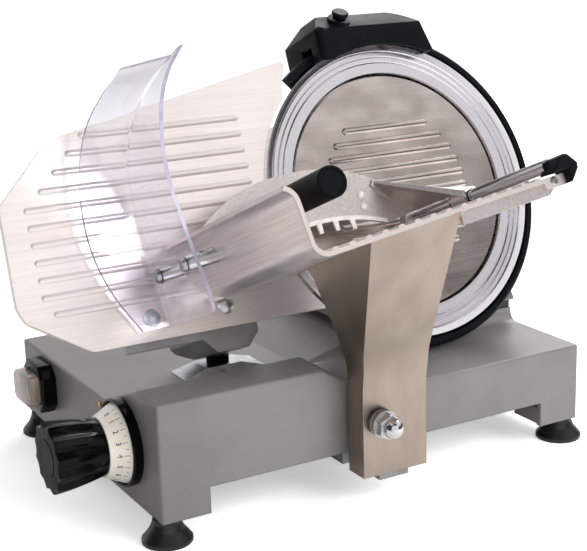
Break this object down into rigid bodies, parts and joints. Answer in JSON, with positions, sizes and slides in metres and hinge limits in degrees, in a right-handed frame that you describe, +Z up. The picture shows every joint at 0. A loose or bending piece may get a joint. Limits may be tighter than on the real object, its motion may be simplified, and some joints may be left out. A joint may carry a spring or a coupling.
{
  "type": "electric gravity-feed meat slicer",
  "caption": "Electric gravity-feed meat slicer with a round blade in a black ring, a sloping sliding tray with pusher and clear guard, a gauge plate and a thickness dial.",
  "frame": {"origin": "middle of the bounding box, on the surface the feet stand on", "axes": "+Z up, -Y to the operator, +X to the right as the operator sees it; the carriage slides along X"},
  "size_m": [0.477, 0.4096, 0.361],
  "materials": {
    "body_paint": "satin silver-grey paint",
    "cast_aluminium": "bead-blasted casting",
    "anodised_aluminium": "satin anodised",
    "brushed_aluminium": "brushed",
    "blade_steel": "hard-chromed and ground",
    "bright_steel": "turned and polished",
    "black_plastic": "moulded, fine grain",
    "gloss_black": "moulded, glossy",
    "white_plastic": "moulded, printed scale",
    "clear_guard": "clear polycarbonate",
    "black_rubber": "moulded rubber",
    "nylon": "turned nylon",
    "abrasive": "vitrified grit"
  },
  "bodies": {
    "frame": {"base_casting": "body_paint", "feet": "black_rubber", "cable_gland": "black_plastic", "side_pin": "bright_steel", "guide_rods": "bright_steel", "capacitor": "bright_steel", "gasket": "black_rubber", "motor_cover": "body_paint", "index_ring": "gloss_black", "switch_bezel": "gloss_black", "switch_cover": "clear_guard", "switch_body": "black_plastic", "blade_cover": "brushed_aluminium", "cover_knob": "black_plastic", "blade_ring": "black_plastic", "blade_housing": "cast_aluminium", "slice_deflector": "anodised_aluminium", "drive_belt": "black_rubber", "motor_can": "cast_aluminium", "bearings": "bright_steel"},
    "blade": {"blade": "blade_steel", "blade_screws": "bright_steel", "blade_pulley": "cast_aluminium", "blade_shaft": "bright_steel"},
    "rotor": {"rotor": "bright_steel", "motor_pulley": "bright_steel"},
    "carriage": {"tray": "anodised_aluminium", "carriage_screws": "bright_steel", "rod_end_block": "black_plastic", "pusher_rod": "bright_steel", "hand_guard": "clear_guard", "guard_sleeves": "bright_steel", "carriage_arm": "brushed_aluminium", "carriage_stem": "cast_aluminium", "acorn_nut": "bright_steel", "arm_stud": "bright_steel", "slider_block": "cast_aluminium", "slider_bushes": "nylon"},
    "pusher_bush": {"pusher_bush": "nylon"},
    "pusher": {"pusher_arm": "anodised_aluminium", "pusher_plate": "anodised_aluminium", "pusher_comb": "brushed_aluminium", "pusher_handle": "black_plastic"},
    "dial": {"dial_ring": "white_plastic", "thickness_knob": "gloss_black", "knob_cap": "gloss_black", "dial_spindle": "bright_steel", "spiral_cam": "black_plastic"},
    "gauge": {"gauge_plate": "anodised_aluminium", "gauge_screws": "bright_steel", "gauge_bracket": "cast_aluminium", "gauge_stud": "bright_steel", "collar_nut": "black_plastic", "dust_cover": "bright_steel", "gauge_slide": "cast_aluminium"},
    "sharpener": {"sharpener_housing": "black_plastic"},
    "grinding_stone": {"grinding_stone": "abrasive"},
    "deburring_stone": {"deburring_stone": "abrasive"},
    "button_on": {"button_on": "white_plastic"},
    "button_off": {"button_off": "gloss_black"}
  },
  "joints": [
    {"name": "blade_spin", "type": "hinge", "parent": "frame", "child": "blade", "pos_m": [0.10448, 0.00526, 0.2137], "axis": [0, -0.9239, 0.3827], "continuous": true},
    {"name": "motor_spin", "type": "hinge", "parent": "frame", "child": "rotor", "pos_m": [0.12448, -0.02305, 0.14533], "axis": [0, -0.9239, 0.3827], "continuous": true},
    {"name": "carriage_slide", "type": "slide", "parent": "frame", "child": "carriage", "axis": [1, 0, 0], "range_m": [-0.11, 0.128]},
    {"name": "pusher_slide", "type": "slide", "parent": "carriage", "child": "pusher_bush", "axis": [0, -0.9239, 0.3827], "range_m": [-0.022, 0.085]},
    {"name": "pusher_swing", "type": "hinge", "parent": "pusher_bush", "child": "pusher", "pos_m": [0.09932, -0.00571, 0.18722], "axis": [0, 0.9239, -0.3827], "range_deg": [0, 100]},
    {"name": "dial_turn", "type": "hinge", "parent": "frame", "child": "dial", "pos_m": [-0.17162, -0.03444, 0.0635], "axis": [-1, 0, 0], "range_deg": [0, 330]},
    {"name": "gauge_move", "type": "slide", "parent": "frame", "child": "gauge", "axis": [0, 1, 0], "range_m": [0, 0.015]},
    {"name": "sharpener_lift", "type": "slide", "parent": "frame", "child": "sharpener", "axis": [0, 0.3827, 0.9239], "range_m": [0, 0.025]},
    {"name": "grinding_press", "type": "slide", "parent": "sharpener", "child": "grinding_stone", "axis": [0, 0.3827, -0.9239], "range_m": [0, 0.002], "stiffness_N_per_m": 800, "springref_m": -0.003},
    {"name": "deburring_pull", "type": "slide", "parent": "sharpener", "child": "deburring_stone", "axis": [0, 0.9239, -0.3827], "range_m": [0, 0.003], "stiffness_N_per_m": 600, "springref_m": -0.003},
    {"name": "on_press", "type": "slide", "parent": "frame", "child": "button_on", "axis": [1, 0, 0], "range_m": [0, 0.003], "stiffness_N_per_m": 300, "springref_m": -0.003},
    {"name": "off_press", "type": "slide", "parent": "frame", "child": "button_off", "axis": [1, 0, 0], "range_m": [0, 0.003], "stiffness_N_per_m": 300, "springref_m": -0.003}
  ],
  "couplings": [
    {"joint": "motor_spin", "follows": "blade_spin", "ratio": 5},
    {"joint": "dial_turn", "follows": "gauge_move", "rad_per_m": 383.97}
  ]
}
